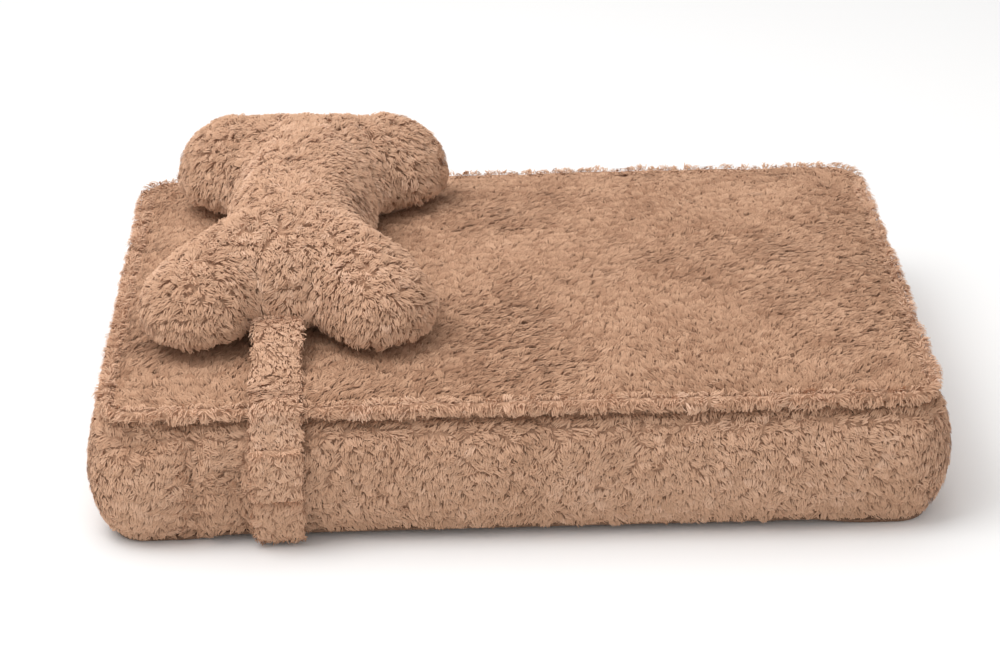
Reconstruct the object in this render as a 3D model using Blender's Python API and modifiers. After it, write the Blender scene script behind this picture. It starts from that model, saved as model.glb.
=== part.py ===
"""Pet cushion bed: a plush box cushion with a bone-shaped pillow strapped across it, in metres.

X runs left to right, Y front to back, Z up. The origin is on the floor under the middle.
"""

import math

import bmesh
import bpy
import numpy as np

# Cushion
LENGTH = 0.910  # left to right, over the bulge
WIDTH = 0.690  # front to back, over the bulge
SEAM_HEIGHT = 0.150  # floor to the top seam
CORNER = 0.060  # radius of a corner in plan, over the bulge
BULGE = 0.024  # how far the sides swell past the seams
CROWN = 0.022  # how far the top swells above its seam
PLUSH = 0.010  # backing cloth and pile together
RIDGE = 0.009  # radius of the roll along the top seam
LINER = 0.002
GAP = 0.0004  # between pieces that touch
LIFT = 0.005  # how far the strap draws the base off the floor
FOOT_X = LENGTH / 2 - 0.095  # the base is flat on the floor beyond this
FOOT_EASE = 0.060  # length over which it rises
JOIN_X = LENGTH / 2 - 0.115  # where the left boxing is sewn to the long ones

# Bone pillow
BONE_LENGTH = WIDTH - 0.170
BONE_WIDTH = 0.320
WAIST = 0.174
NOTCH = 0.042  # how far the notch in each end runs in
BONE_RISE = 0.086  # seam to top
BONE_DROP = 0.035  # seam to underside
FILL_SCALE = 0.984  # of the pocket it fills
BONE_X = 0.215 - LENGTH / 2
BONE_Y = 0.015

# Strap
STRAP_WIDTH = 0.055
STRAP = 0.004
ELASTIC = 0.002
SLIP = 0.0015  # between the strap loop and the cushion it slides on
UNDER_SLIP = 0.0012  # between the elastic and the lifted base
PATCH = 0.0012
PATCH_WIDTH = 0.040
HINGE_Z = 0.062  # the row of stitches that the tab bends at
TAB_TOP = 0.113
FRONT_END = 0.072  # lower end of the front run
LAP_TOP = 0.036  # upper end of the elastic, behind the lower run
LOWER_DEPTH = ELASTIC + GAP  # the lower run lies on the elastic
TAB_DEPTH = STRAP + 2 * PATCH + 3 * GAP  # the tab lies on both patches

# Zip, in the right end
ZIP_PANEL = WIDTH - 0.170  # length of the slot
ZIP_SLOT = 0.016
ZIP_RUN = ZIP_PANEL - 0.060
TAPE = 0.001
TAPE_WIDTH = 0.013
TAPE_SEAT = 0.0012  # from the boxing's inner face at mid height: it curves away behind the tape
COIL = 0.0016
COIL_WIDTH = 0.0030
TEETH = 60
WEB = 0.0016  # thickness of the slider's web, which parts the two coils
SLIDER_LENGTH = 0.012
SLIDER_WIDTH = 0.009
PLATE = 0.0012
LUG = 0.0038
LUG_WIDTH = 0.0024
PIN_HOLE = 0.0011
PULL_LENGTH = 0.018
PULL_WIDTH = 0.0070
PULL = 0.0012
STOP_LENGTH = 0.004

HALF_X = LENGTH / 2 - CORNER
HALF_Y = WIDTH / 2 - CORNER
ZIP_Z = SEAM_HEIGHT / 2
BOXING_TOP = SEAM_HEIGHT - RIDGE - GAP
LINER_SIDE = PLUSH + TAPE_SEAT + TAPE + PLATE + 2 * GAP
CORNER_TURNS = 4

FUR = (0.47, 0.28, 0.18)
DEEP_FUR = (0.36, 0.21, 0.13)
LINEN = ((0.72, 0.70, 0.66), 0.9)
FIBRE = ((0.85, 0.85, 0.84), 1.0)


# ---- scene ----------------------------------------------------------------------------


def clear():
    for old in list(bpy.data.objects):
        bpy.data.objects.remove(old)


def collection(name):
    made = bpy.data.collections.new(name)
    bpy.context.scene.collection.children.link(made)
    return made


def material(name, colour, roughness, metallic=0.0):
    made = bpy.data.materials.new(name)
    made.use_nodes = True
    shader = made.node_tree.nodes["Principled BSDF"]
    shader.inputs["Base Color"].default_value = (*colour, 1.0)
    shader.inputs["Roughness"].default_value = roughness
    shader.inputs["Metallic"].default_value = metallic
    return made


def add(name, bm, look, origin=(0, 0, 0)):
    """The finished mesh as an object whose origin is on its joint, if it has one."""
    bmesh.ops.recalc_face_normals(bm, faces=bm.faces[:])
    bmesh.ops.translate(bm, verts=bm.verts[:], vec=[-v for v in origin])
    mesh = bpy.data.meshes.new(name)
    bm.to_mesh(mesh)
    bm.free()
    mesh.materials.append(material(name, *look))
    made = bpy.data.objects.new(name, mesh)
    made.location = origin
    PIECES.objects.link(made)
    return made


def block(name, low, high, look, origin=(0, 0, 0), helper=False):
    """A box between two corners."""
    bm = bmesh.new()
    bmesh.ops.create_cube(bm, size=1)
    size = [b - a for a, b in zip(low, high)]
    middle = [(a + b) / 2 for a, b in zip(low, high)]
    bmesh.ops.scale(bm, verts=bm.verts[:], vec=size)
    bmesh.ops.translate(bm, verts=bm.verts[:], vec=middle)
    made = add(name, bm, look, origin)
    return as_helper(made) if helper else made


def as_helper(made):
    PIECES.objects.unlink(made)
    CUTTERS.objects.link(made)
    made.hide_render = True
    made.display_type = "WIRE"
    return made


def boolean(target, tool, operation):
    change = target.modifiers.new(operation.title(), "BOOLEAN")
    change.operation = operation
    change.solver = "EXACT"
    change.object = tool


def bevel(target, width, segments=2):
    rounded = target.modifiers.new("Bevel", "BEVEL")
    rounded.width = width
    rounded.segments = segments
    rounded.limit_method = "ANGLE"
    rounded.angle_limit = math.radians(40)


def sheet(name, columns, rows, place, layers, look, origin=(0, 0, 0), open_start=False):
    """A grid extruded from layer to layer, each point laid by place(column, row, layer)."""
    bm = bmesh.new()
    bmesh.ops.create_grid(bm, x_segments=columns, y_segments=rows, size=1)
    column = bm.verts.layers.int.new("column")
    row = bm.verts.layers.int.new("row")
    for v in bm.verts:
        v[column] = round((v.co.x + 1) / 2 * columns)
        v[row] = round((v.co.y + 1) / 2 * rows)
        v.co = place(v[column], v[row], layers[0])
    bmesh.ops.remove_doubles(bm, verts=bm.verts[:], dist=1e-6)
    moving = bm.faces[:]
    for step, layer in enumerate(layers[1:]):
        left = moving
        grown = bmesh.ops.extrude_face_region(bm, geom=left)["geom"]
        moving = [g for g in grown if isinstance(g, bmesh.types.BMFace)]
        for v in {v for face in moving for v in face.verts}:
            v.co = place(v[column], v[row], layer)
        if step > 0 or open_start:
            bmesh.ops.delete(bm, geom=left, context="FACES")
    bmesh.ops.remove_doubles(bm, verts=bm.verts[:], dist=1e-6)
    return add(name, bm, look, origin)


def smooth(value):
    """0 to 1 with level ends."""
    value = min(max(value, 0.0), 1.0)
    return value * value * (3 - 2 * value)


# ---- cushion form ---------------------------------------------------------------------


def inset(z):
    """How far the side stands in from the bulge at height z."""
    return BULGE * abs(2 * z / SEAM_HEIGHT - 1) ** 2.4


def swell(y):
    """Height of the crown along the middle of the cushion."""
    return CROWN * max(0.0, 1 - abs(y / (WIDTH / 2 - BULGE)) ** 2.2)


def crown(x, y):
    """Height of the crown: nearly level from left to right, so that the strap slides."""
    return swell(y) * max(0.0, 1 - abs(x / (LENGTH / 2 - BULGE)) ** 8)


def lift(x):
    """Height of the base off the floor."""
    return LIFT * smooth((FOOT_X - abs(x)) / FOOT_EASE)


def side_marks():
    """Half of the stations along a long side, from the middle outward."""
    lifted = FOOT_X - FOOT_EASE
    inner = [lifted * k / 3 for k in range(3)]
    outer = [lifted, (lifted + JOIN_X) / 2, JOIN_X, FOOT_X, HALF_X]
    return inner + outer


def mirrored(half):
    return [-v for v in reversed(half[1:])] + half


LONG = mirrored(side_marks())
SHORT = mirrored([0.0, ZIP_PANEL / 4, ZIP_PANEL / 2, HALF_Y])


def outline_stations():
    """Round the plan from the front left: a base point and the way out from it."""
    turns = [math.pi / 2 * k / CORNER_TURNS for k in range(1, CORNER_TURNS)]
    found = []
    for out_x, out_y in ((0, -1), (1, 0), (0, 1), (-1, 0)):
        for mark in LONG if out_x == 0 else SHORT:
            x = out_x * HALF_X - out_y * mark
            y = out_y * HALF_Y + out_x * mark
            found.append((x, y, out_x, out_y))
        for turn in turns:
            cos, sin = math.cos(turn), math.sin(turn)
            found.append((x, y, out_x * cos - out_y * sin, out_y * cos + out_x * sin))
    return found


STATIONS = outline_stations()


def outline(station, radius):
    x, y, out_x, out_y = station
    return x + out_x * radius, y + out_y * radius


def station_index(x, y, out_x, out_y):
    wanted = np.array((x, y, out_x, out_y))
    return int(np.argmin(np.abs(np.array(STATIONS) - wanted).sum(axis=1)))


def face_columns():
    """Columns of the top and base grids: a base x, and how far round the corner it is."""
    turns = [math.pi / 2 * k / CORNER_TURNS for k in range(1, CORNER_TURNS + 1)]
    left = [(-HALF_X, -turn) for turn in reversed(turns)]
    right = [(HALF_X, turn) for turn in turns]
    return left + [(x, 0.0) for x in LONG] + right


COLUMNS = face_columns()
ROWS = len(SHORT) + 1


def face_point(column, row, radius):
    """A point of the top or base grid whose outline has this corner radius."""
    base, turn = COLUMNS[column]
    x = base + radius * math.sin(turn)
    reach = HALF_Y + radius * math.cos(turn)
    ys = [-reach, *SHORT, reach]
    return x, ys[row]


def level_face(radius_at, height_at):
    """place() for a grid whose layers are levels: each has a corner radius and a height."""

    def place(column, row, layer):
        x, y = face_point(column, row, radius_at(layer))
        return x, y, height_at(x, y, layer)

    return place


# ---- cushion pieces -------------------------------------------------------------------


def make_top():
    def height(x, y, depth):
        return SEAM_HEIGHT + crown(x, y) - depth

    edge = CORNER - BULGE - RIDGE - GAP
    place = level_face(lambda depth: edge, height)
    sheet("top_panel", len(COLUMNS) - 1, ROWS, place, (PLUSH, 0.0), (FUR, 0.95))


def make_base():
    """The base panel, flat on the floor at its ends; its edge slopes out to the boxing."""

    def radius(height):
        return CORNER - (BULGE if height == 0 else inset(PLUSH))

    place = level_face(radius, lambda x, y, height: lift(x) + height)
    sheet("base_panel", len(COLUMNS) - 1, ROWS, place, (0.0, PLUSH), (DEEP_FUR, 0.95))


def make_wall(name, first, last, low=None, high=BOXING_TOP, rows=5):
    """Boxing between two stations, standing on the base panel unless low is given."""
    count = (last - first) % len(STATIONS)

    def place(column, row, depth):
        station = STATIONS[(first + column) % len(STATIONS)]
        x, y, out_x, out_y = station
        bottom = lift(x) + PLUSH + GAP if low is None else low
        z = bottom + (high - bottom) * row / rows
        px, py = outline(station, CORNER - inset(z) - depth)
        trim = GAP / 2 * ((column == 0) - (column == count))
        return px - out_y * trim, py + out_x * trim, z

    sheet(name, count, rows, place, (PLUSH, 0.0), (FUR, 0.95))


def make_boxing():
    front = station_index(-JOIN_X, -HALF_Y, 0, -1)
    rear = station_index(-JOIN_X, HALF_Y, 0, 1)
    zip_front = station_index(HALF_X, -ZIP_PANEL / 2, 1, 0)
    zip_rear = station_index(HALF_X, ZIP_PANEL / 2, 1, 0)
    make_wall("front_boxing", front, zip_front)
    make_wall("rear_boxing", zip_rear, rear)
    make_wall("left_boxing", rear, front)
    half = ZIP_SLOT / 2
    make_wall("right_boxing_upper", zip_front, zip_rear, low=ZIP_Z + half, rows=3)
    make_wall("right_boxing_lower", zip_front, zip_rear, high=ZIP_Z - half, rows=3)


def make_ridge():
    """The roll along the top seam: a round tube that closes on itself."""
    line = bpy.data.curves.new("top_seam_ridge", "CURVE")
    line.dimensions = "3D"
    spline = line.splines.new("POLY")
    spline.points.add(len(STATIONS) - 1)
    for point, station in zip(spline.points, STATIONS):
        x, y = outline(station, CORNER - BULGE)
        point.co = (x, y, SEAM_HEIGHT, 1)
    spline.use_cyclic_u = True
    line.bevel_depth = RIDGE
    line.bevel_resolution = 1
    line.materials.append(material("top_seam_ridge", FUR, 0.95))
    PIECES.objects.link(bpy.data.objects.new("top_seam_ridge", line))


def inner_form(depth):
    """place() for a body inside the boxing, whose layers run from its underside to its top."""
    side = LINER_SIDE + depth

    def radius(level):
        z = min(max(level, PLUSH), SEAM_HEIGHT - PLUSH)
        return CORNER - inset(z) - side

    def height(x, y, level):
        if level == 0:
            return lift(x) + PLUSH + GAP + depth
        if level == SEAM_HEIGHT:
            return SEAM_HEIGHT - PLUSH - GAP - depth + crown(x, y)
        return level

    return level_face(radius, height)


def levels(low, high, count):
    return [low + (high - low) * k / count for k in range(count + 1)]


def make_liner():
    """Two trays that meet at mid height, so that neither is a sealed shell."""
    place = inner_form(0.0)
    top = [SEAM_HEIGHT, *levels(SEAM_HEIGHT * 0.78, ZIP_Z + GAP / 2, 2)]
    base = [0.0, *levels(SEAM_HEIGHT * 0.22, ZIP_Z - GAP / 2, 2)]
    for name, tray in (("liner_top", top), ("liner_base", base)):
        made = sheet(name, len(COLUMNS) - 1, ROWS, place, tray[::-1], LINEN, open_start=True)
        shell = made.modifiers.new("Solidify", "SOLIDIFY")
        shell.thickness = LINER
        shell.offset = -1
        shell.use_even_offset = True


def make_fill():
    body = [0.0, *levels(SEAM_HEIGHT * 0.22, SEAM_HEIGHT * 0.78, 4), SEAM_HEIGHT]
    place = inner_form(LINER + GAP)
    sheet("fibre_fill", len(COLUMNS) - 1, ROWS, place, body, FIBRE)


# ---- zip ------------------------------------------------------------------------------

TAPE_X = LENGTH / 2 - PLUSH - TAPE_SEAT  # outer face of the tapes
COIL_X = TAPE_X + GAP  # where the coils stand
CAP_X = COIL_X + COIL + GAP  # underside of the slider's outer plate
PIN_X = CAP_X + PLATE + PIN_HOLE + GAP
REST_Y = -ZIP_RUN / 2
METAL = ((0.55, 0.50, 0.42), 0.35, 1.0)


def make_tapes():
    near = WEB / 2 + GAP
    reach = (ZIP_PANEL - STOP_LENGTH) / 2
    for name, way in (("upper", 1), ("lower", -1)):
        edges = sorted((ZIP_Z + way * near, ZIP_Z + way * (near + TAPE_WIDTH)))
        low = (TAPE_X - TAPE, -reach, edges[0])
        high = (TAPE_X, reach, edges[1])
        block("zip_tape_" + name, low, high, ((0.30, 0.19, 0.12), 0.8))


def make_coils():
    """Toothed strips along the two tapes, parted by the width of the slider's web."""
    reach = (ZIP_RUN + SLIDER_LENGTH) / 2 - GAP
    near = WEB / 2 + GAP

    def placed(way):
        def place(column, row, outer):
            y = -reach + 2 * reach * column / (2 * TEETH)
            z = ZIP_Z + way * (near + COIL_WIDTH * row)
            tooth = COIL if column % 2 else COIL / 2
            return COIL_X + outer * tooth, y, z

        return place

    for name, way in (("upper", 1), ("lower", -1)):
        look = ((0.42, 0.28, 0.18), 0.45)
        sheet("zip_coil_" + name, 2 * TEETH, 1, placed(way), (0.0, 1.0), look)


def make_stops():
    at = (ZIP_RUN + SLIDER_LENGTH) / 2 + GAP
    width = WEB / 2 + GAP + COIL_WIDTH
    for name, way in (("front", -1), ("rear", 1)):
        ends = sorted((way * at, way * (at + STOP_LENGTH)))
        low = (COIL_X, ends[0], ZIP_Z - width)
        high = (COIL_X + COIL, ends[1], ZIP_Z + width)
        bevel(block("zip_stop_" + name, low, high, METAL), 0.0004, 1)


def slider_box(name, xs, length, width, helper=True):
    low = (xs[0], REST_Y - length / 2, ZIP_Z - width / 2)
    high = (xs[1], REST_Y + length / 2, ZIP_Z + width / 2)
    origin = (PIN_X, REST_Y, ZIP_Z)
    return block(name, low, high, METAL, origin, helper)


def make_slider():
    """Two plates joined by a web between the coils, with an eye for the pull."""
    top = CAP_X + PLATE
    under = TAPE_X - TAPE - GAP
    slider = slider_box("zip_slider", (CAP_X, top), SLIDER_LENGTH, SLIDER_WIDTH, False)
    into = PLATE / 2
    web = slider_box("cut_web", (under - into, top - into), SLIDER_LENGTH * 0.5, WEB)
    back = slider_box("cut_back", (under - PLATE, under), SLIDER_LENGTH, SLIDER_WIDTH)
    lug = slider_box("cut_lug", (top - into, top + LUG), 2 * PIN_HOLE + 0.0026, LUG_WIDTH)
    for tool in (web, back, lug):
        boolean(slider, tool, "UNION")
    hole = bmesh.new()
    bmesh.ops.create_cone(
        hole,
        cap_ends=True,
        segments=16,
        radius1=PIN_HOLE,
        radius2=PIN_HOLE,
        depth=LUG_WIDTH * 3,
    )
    bmesh.ops.translate(hole, verts=hole.verts[:], vec=(PIN_X, REST_Y, ZIP_Z))
    boolean(slider, as_helper(add("cut_pin", hole, METAL)), "DIFFERENCE")


def make_pull():
    """A plate whose end bar passes through the slider's eye."""
    bar = 0.0007
    origin = (PIN_X, REST_Y, ZIP_Z)
    low = (PIN_X - PULL / 2, REST_Y - bar, ZIP_Z - PULL_WIDTH / 2)
    high = (PIN_X + PULL / 2, REST_Y - bar + PULL_LENGTH, ZIP_Z + PULL_WIDTH / 2)
    pull = block("zip_pull", low, high, METAL, origin)
    half = LUG_WIDTH / 2 + 0.0005
    low = (PIN_X - PULL, REST_Y + bar, ZIP_Z - half)
    high = (PIN_X + PULL, REST_Y + bar + 0.0036, ZIP_Z + half)
    boolean(pull, block("cut_pull", low, high, METAL, helper=True), "DIFFERENCE")


# ---- bone pillow ----------------------------------------------------------------------


def bone_quarter():
    """Half-widths and distances from the middle, from the end notch round a knob to the waist."""
    end = BONE_LENGTH / 2
    side = BONE_WIDTH / 2
    notch = end - NOTCH
    return [
        (0.0, notch),
        (STRAP_WIDTH * 0.30, notch),
        (STRAP_WIDTH * 0.56, notch),
        (side * 0.32, end - 0.018),
        (side * 0.57, end),
        (side * 0.86, end - 0.018),
        (side, end - 0.066),
        (side * 0.92, end - 0.116),
        ((side + WAIST) / 2 * 0.80, end - 0.152),
        (WAIST / 2 * 1.03, end - 0.200),
        (WAIST / 2, 0.0),
    ]


def bone_outline(steps=2):
    """The plan of the bone round its middle, as a smooth closed run of points."""
    quarter = bone_quarter()
    half = quarter + [(x, -y) for x, y in reversed(quarter[:-1])]
    ring = np.array(half + [(-x, y) for x, y in reversed(half[1:-1])])
    found = []
    for k in range(len(ring)):
        a, b, c, d = (ring[(k + shift) % len(ring)] for shift in (-1, 0, 1, 2))
        for step in range(steps):
            t = step / steps
            bend = (2 * a - 5 * b + 4 * c - d) * t + (3 * b - a - 3 * c + d) * t * t
            found.append(b + 0.5 * t * ((c - a) + bend))
    return np.array(found)


BONE = bone_outline()
BONE_OUT = np.roll(BONE, -1, axis=0) - np.roll(BONE, 1, axis=0)
BONE_OUT = np.column_stack((-BONE_OUT[:, 1], BONE_OUT[:, 0]))
BONE_OUT /= np.linalg.norm(BONE_OUT, axis=1)[:, None]
SPINE = BONE_LENGTH / 2 - 0.165  # the panels rise to a ridge this far from the middle
BONE_ROWS = 5


def bone_seam(y):
    """Height of the bone's seam: its underside follows the crown."""
    return SEAM_HEIGHT + swell(y) + SLIP + BONE_DROP


def bone_place(column, row, layer):
    """Layer is (up or down, depth below the outer face, scale). Row 0 is the seam."""
    way, depth, scale = layer
    edge = BONE[column % len(BONE)]
    point = edge - BONE_OUT[column % len(BONE)] * depth
    spine = np.array((0.0, min(max(edge[1], -SPINE), SPINE)))
    angle = math.pi / 2 * row / BONE_ROWS
    round_x = 1.0 if way > 0 else 0.55
    reach = scale * math.cos(angle) ** round_x if row < BONE_ROWS else 0.0
    x, y = spine + (point - spine) * reach
    tall = BONE_RISE * (0.9 + 0.1 * smooth(abs(y) / SPINE)) if way > 0 else BONE_DROP
    high = GAP / 2 + scale * (tall - depth) * math.sin(angle)
    z = bone_seam(y + BONE_Y) + way * high
    return x + BONE_X, y + BONE_Y, z


def make_bone():
    centre = (BONE_X, BONE_Y, SEAM_HEIGHT + CROWN + SLIP + BONE_DROP)
    pieces = (
        ("bone_upper_panel", ((1, PLUSH, 1.0), (1, 0.0, 1.0)), (FUR, 0.95)),
        ("bone_lower_panel", ((-1, PLUSH, 1.0), (-1, 0.0, 1.0)), (DEEP_FUR, 0.95)),
        ("bone_fill", ((-1, PLUSH, FILL_SCALE), (1, PLUSH, FILL_SCALE)), FIBRE),
    )
    for name, layers, look in pieces:
        sheet(name, len(BONE), BONE_ROWS, bone_place, layers, look, centre)


# ---- strap ----------------------------------------------------------------------------


def over_top(notch, way, count=9):
    """Inner face of the strap from the bone's notch to above the top seam."""
    edge = WIDTH / 2 - BULGE
    start = abs(notch)
    level = start + STRAP
    drop = min(0.080, (edge - level) * 0.8)
    found = [(way * start, bone_seam(level) - STRAP / 2)]
    for k in range(count):
        y = level + (edge - level) * k / count
        ground = max(swell(y), RIDGE * smooth((y - edge + 0.034) / 0.028))
        high = (BONE_DROP - STRAP / 2) * (1 - smooth((y - level) / drop))
        found.append((way * y, SEAM_HEIGHT + ground + SLIP + high))
    for turn in (90, 60, 30, 0):
        angle = math.radians(turn)
        y = edge + (RIDGE + SLIP) * math.cos(angle)
        found.append((way * y, SEAM_HEIGHT + (RIDGE + SLIP) * math.sin(angle)))
    return found


def down_side(way, high, low, count):
    """Inner face of the strap down the front or the rear boxing."""
    return [(way * (WIDTH / 2 - inset(z) + SLIP), z) for z in levels(high, low, count)]


def under_turn(way):
    """Inner face of the elastic where it turns under the base."""
    edge = WIDTH / 2 - BULGE
    under = LIFT - UNDER_SLIP
    return [(way * (edge + 0.0042), under + 0.0027), (way * (edge - 0.003), under)]


def strap_run(name, path, depths, look, width=STRAP_WIDTH, origin=None, step=None):
    """A strip along a path in the YZ plane, thickened to the path's left."""
    line = np.array(path)
    along = np.gradient(line, axis=0)
    out = np.column_stack((-along[:, 1], along[:, 0]))
    out /= np.linalg.norm(out, axis=1)[:, None]
    extra = np.zeros(len(line)) if step is None else np.array([step(z) for z in line[:, 1]])

    def place(column, row, depth):
        y, z = line[column] + out[column] * (depth + extra[column])
        return BONE_X + (row - 0.5) * width, y, z

    home = origin or (BONE_X, BONE_Y, SEAM_HEIGHT)
    sheet(name, len(line) - 1, 1, place, depths, look, home)


def make_loop():
    """The strap round the cushion: its inner face clears the cushion by SLIP everywhere."""
    notch = BONE_LENGTH / 2 - NOTCH
    top = SEAM_HEIGHT * 0.88
    plush = (FUR, 0.95)
    rear = over_top(BONE_Y + notch + GAP, 1) + down_side(1, top, LAP_TOP + GAP, 6)
    strap_run("strap_rear", rear, (0.0, STRAP), plush)
    front = over_top(BONE_Y - notch - GAP, -1) + down_side(-1, top, FRONT_END, 5)
    strap_run("strap_front", front[::-1], (0.0, STRAP), plush)
    front_turn = down_side(-1, LAP_TOP, PLUSH, 3) + under_turn(-1)
    rear_turn = down_side(1, LAP_TOP, PLUSH, 3) + under_turn(1)
    loop = rear_turn + front_turn[::-1]
    strap_run("strap_elastic", loop, (0.0, ELASTIC), ((0.25, 0.16, 0.11), 0.8))
    lower = down_side(-1, HINGE_Z, PLUSH, 5)
    strap_run("strap_lower", lower[::-1], (LOWER_DEPTH, LOWER_DEPTH + STRAP), plush)


def make_tab():
    """The tab bends at its stitches, which lie on the outer face of the lower run."""

    def step(z):
        return (TAB_DEPTH - LOWER_DEPTH) * smooth((z - HINGE_Z) / (FRONT_END - HINGE_Z - GAP))

    y = -(WIDTH / 2 - inset(HINGE_Z) + SLIP + LOWER_DEPTH + STRAP)
    hinge = (BONE_X, y, HINGE_Z)
    bend = down_side(-1, FRONT_END, HINGE_Z + GAP, 4)
    tab = down_side(-1, TAB_TOP, FRONT_END + PATCH, 3) + bend
    depths = (LOWER_DEPTH, LOWER_DEPTH + STRAP)
    strap_run("strap_tab", tab[::-1], depths, (FUR, 0.95), origin=hinge, step=step)
    held = down_side(-1, TAB_TOP - 0.004, FRONT_END + 0.004, 3)[::-1]
    loops = (STRAP + GAP, STRAP + GAP + PATCH)
    hooks = tuple(depth + PATCH + GAP for depth in loops)
    dark = ((0.20, 0.13, 0.09), 0.9)
    strap_run("loop_patch", held, loops, dark, PATCH_WIDTH)
    strap_run("hook_patch", held, hooks, dark, PATCH_WIDTH, origin=hinge)


clear()
PIECES = collection("pet_cushion_bed")
CUTTERS = collection("cutters")
make_top()
make_base()
make_boxing()
make_ridge()
make_liner()
make_fill()
make_tapes()
make_coils()
make_stops()
make_slider()
make_pull()
make_bone()
make_loop()
make_tab()
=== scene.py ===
# %% [markdown]
# # A plush bed with a bone pillow
# The real bed is a box cushion in light brown plush. A bone-shaped pillow lies across it,
# sewn to a plush strap that runs round the whole cushion and closes with a tab in front.
# A solid model of every piece is loaded first. It fixes where things are and how they move,
# and each piece built below is laid exactly over its own solid.

import math

import bmesh
import bpy
import numpy as np
from mathutils import Matrix, Vector
from mathutils.kdtree import KDTree


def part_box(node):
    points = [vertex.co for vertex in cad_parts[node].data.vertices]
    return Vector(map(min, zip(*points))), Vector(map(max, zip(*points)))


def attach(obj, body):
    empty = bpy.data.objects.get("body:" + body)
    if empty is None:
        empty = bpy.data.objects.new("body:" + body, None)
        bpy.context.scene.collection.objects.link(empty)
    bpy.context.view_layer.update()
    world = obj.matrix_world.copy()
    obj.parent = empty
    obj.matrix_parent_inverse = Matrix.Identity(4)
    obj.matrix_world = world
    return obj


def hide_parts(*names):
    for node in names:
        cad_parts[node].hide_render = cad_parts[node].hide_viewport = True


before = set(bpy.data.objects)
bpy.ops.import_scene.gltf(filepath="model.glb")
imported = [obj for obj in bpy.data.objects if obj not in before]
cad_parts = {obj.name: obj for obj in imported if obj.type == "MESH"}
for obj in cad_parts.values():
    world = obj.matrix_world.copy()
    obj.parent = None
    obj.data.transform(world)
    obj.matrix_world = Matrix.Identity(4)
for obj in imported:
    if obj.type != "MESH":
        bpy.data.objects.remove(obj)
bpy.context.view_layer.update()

# %% [markdown]
# ## Measures taken from the solids
# Reading sizes from the solids keeps the soft pieces true to them. The top seam is a roll:
# its middle height and its own thickness come from its box. The sides swell out past that
# seam, and the top swells above it.

# %% Measures of the cushion
half_long = -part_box("left_boxing")[0].x  # middle to the bulge of an end
half_wide = -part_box("front_boxing")[0].y  # middle to the bulge of the front
roll_low, roll_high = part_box("top_seam_ridge")
ROLL = (roll_high.z - roll_low.z) / 2
SEAM_Z = (roll_high.z + roll_low.z) / 2
BULGE = half_wide + roll_low.y + ROLL
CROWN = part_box("top_panel")[1].z - SEAM_Z
CORNER = 0.060  # radius of a corner in plan
core_x, core_y = half_long - CORNER, half_wide - CORNER
strap_low, strap_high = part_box("strap_front")
STRAP_X = (strap_low.x + strap_high.x) / 2
STRAP_WIDTH = strap_high.x - strap_low.x
LIFT = 0.005  # the strap draws the base this far off the floor
foot_x = half_long - 0.095  # the base is flat on the floor beyond this
FOOT_EASE = 0.060  # length over which it rises
CROWN_POWER = 2.2  # how flat the crown is across the bed
print("seam height", round(SEAM_Z, 4), "bulge", round(BULGE, 4), "crown", round(CROWN, 4))


# %% [markdown]
# ## Camera
# The camera stands a little to the left of the bed and looks down on its front. A long lens
# from three metres keeps the far side nearly as wide as the near side.

# %% Make the camera
def make_camera(place, yaw, pitch, roll, lens):
    ahead = Vector(
        (
            math.sin(yaw) * math.cos(pitch),
            math.cos(yaw) * math.cos(pitch),
            -math.sin(pitch),
        )
    )
    level = Vector((math.cos(yaw), -math.sin(yaw), 0))
    above = level.cross(ahead)
    right = math.cos(roll) * level + math.sin(roll) * above
    up = right.cross(ahead)
    turn = Matrix((right, up, -ahead)).transposed()
    made = bpy.data.objects.new("camera", bpy.data.cameras.new("camera"))
    made.data.lens = lens
    made.data.sensor_width = 36
    made.matrix_world = Matrix.Translation(place) @ turn.to_4x4()
    bpy.context.scene.collection.objects.link(made)
    bpy.context.scene.camera = made


make_camera(
    (-0.0848, -3.0694, 1.4748),
    math.radians(1.337),
    math.radians(24.345),
    math.radians(-0.849),
    106.73,
)


# %% [markdown]
# ## Smooth random fields
# Cloth and pile are never even. One helper gives every uneven thing below: a smooth random
# number, from -1 to 1, at each point of space, with bumps of a chosen size. It hashes the
# corners of a grid of cells and blends between them, so it gives the same result each run.

# %% Smooth noise at many points
def hashed(cells, seed):
    x, y, z = (cells[..., k].astype(np.int64) for k in range(3))
    mixed = (x * 73856093) ^ (y * 19349663) ^ (z * 83492791) ^ (seed * 2654435761)
    mixed &= 0xFFFFFFFF
    mixed = ((mixed ^ (mixed >> 13)) * 1274126177) & 0xFFFFFFFF
    mixed = ((mixed ^ (mixed >> 16)) * 668265263) & 0xFFFFFFFF
    return (mixed ^ (mixed >> 15)) / 2**31 - 1


def noise(points, size, seed):
    scaled = np.asarray(points) / size
    cell = np.floor(scaled)
    part = scaled - cell
    part = part * part * (3 - 2 * part)
    total = 0
    for corner in np.ndindex(2, 2, 2):
        weight = np.prod(np.where(corner, part, 1 - part), axis=-1)
        total = total + weight * hashed(cell + np.array(corner), seed)
    return total


def unit(vectors):
    return vectors / np.maximum(np.linalg.norm(vectors, axis=-1, keepdims=True), 1e-9)


def eased(value):
    """0 to 1 with level ends."""
    value = np.clip(value, 0, 1)
    return value * value * (3 - 2 * value)


# %% [markdown]
# ## Shader maths as plain arithmetic
# A finish is a tree of nodes. Writing `mottle * 0.25 + 0.28` is easier to read than two nodes
# and three links, so this class wraps a number socket and turns arithmetic into Math nodes.

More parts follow.
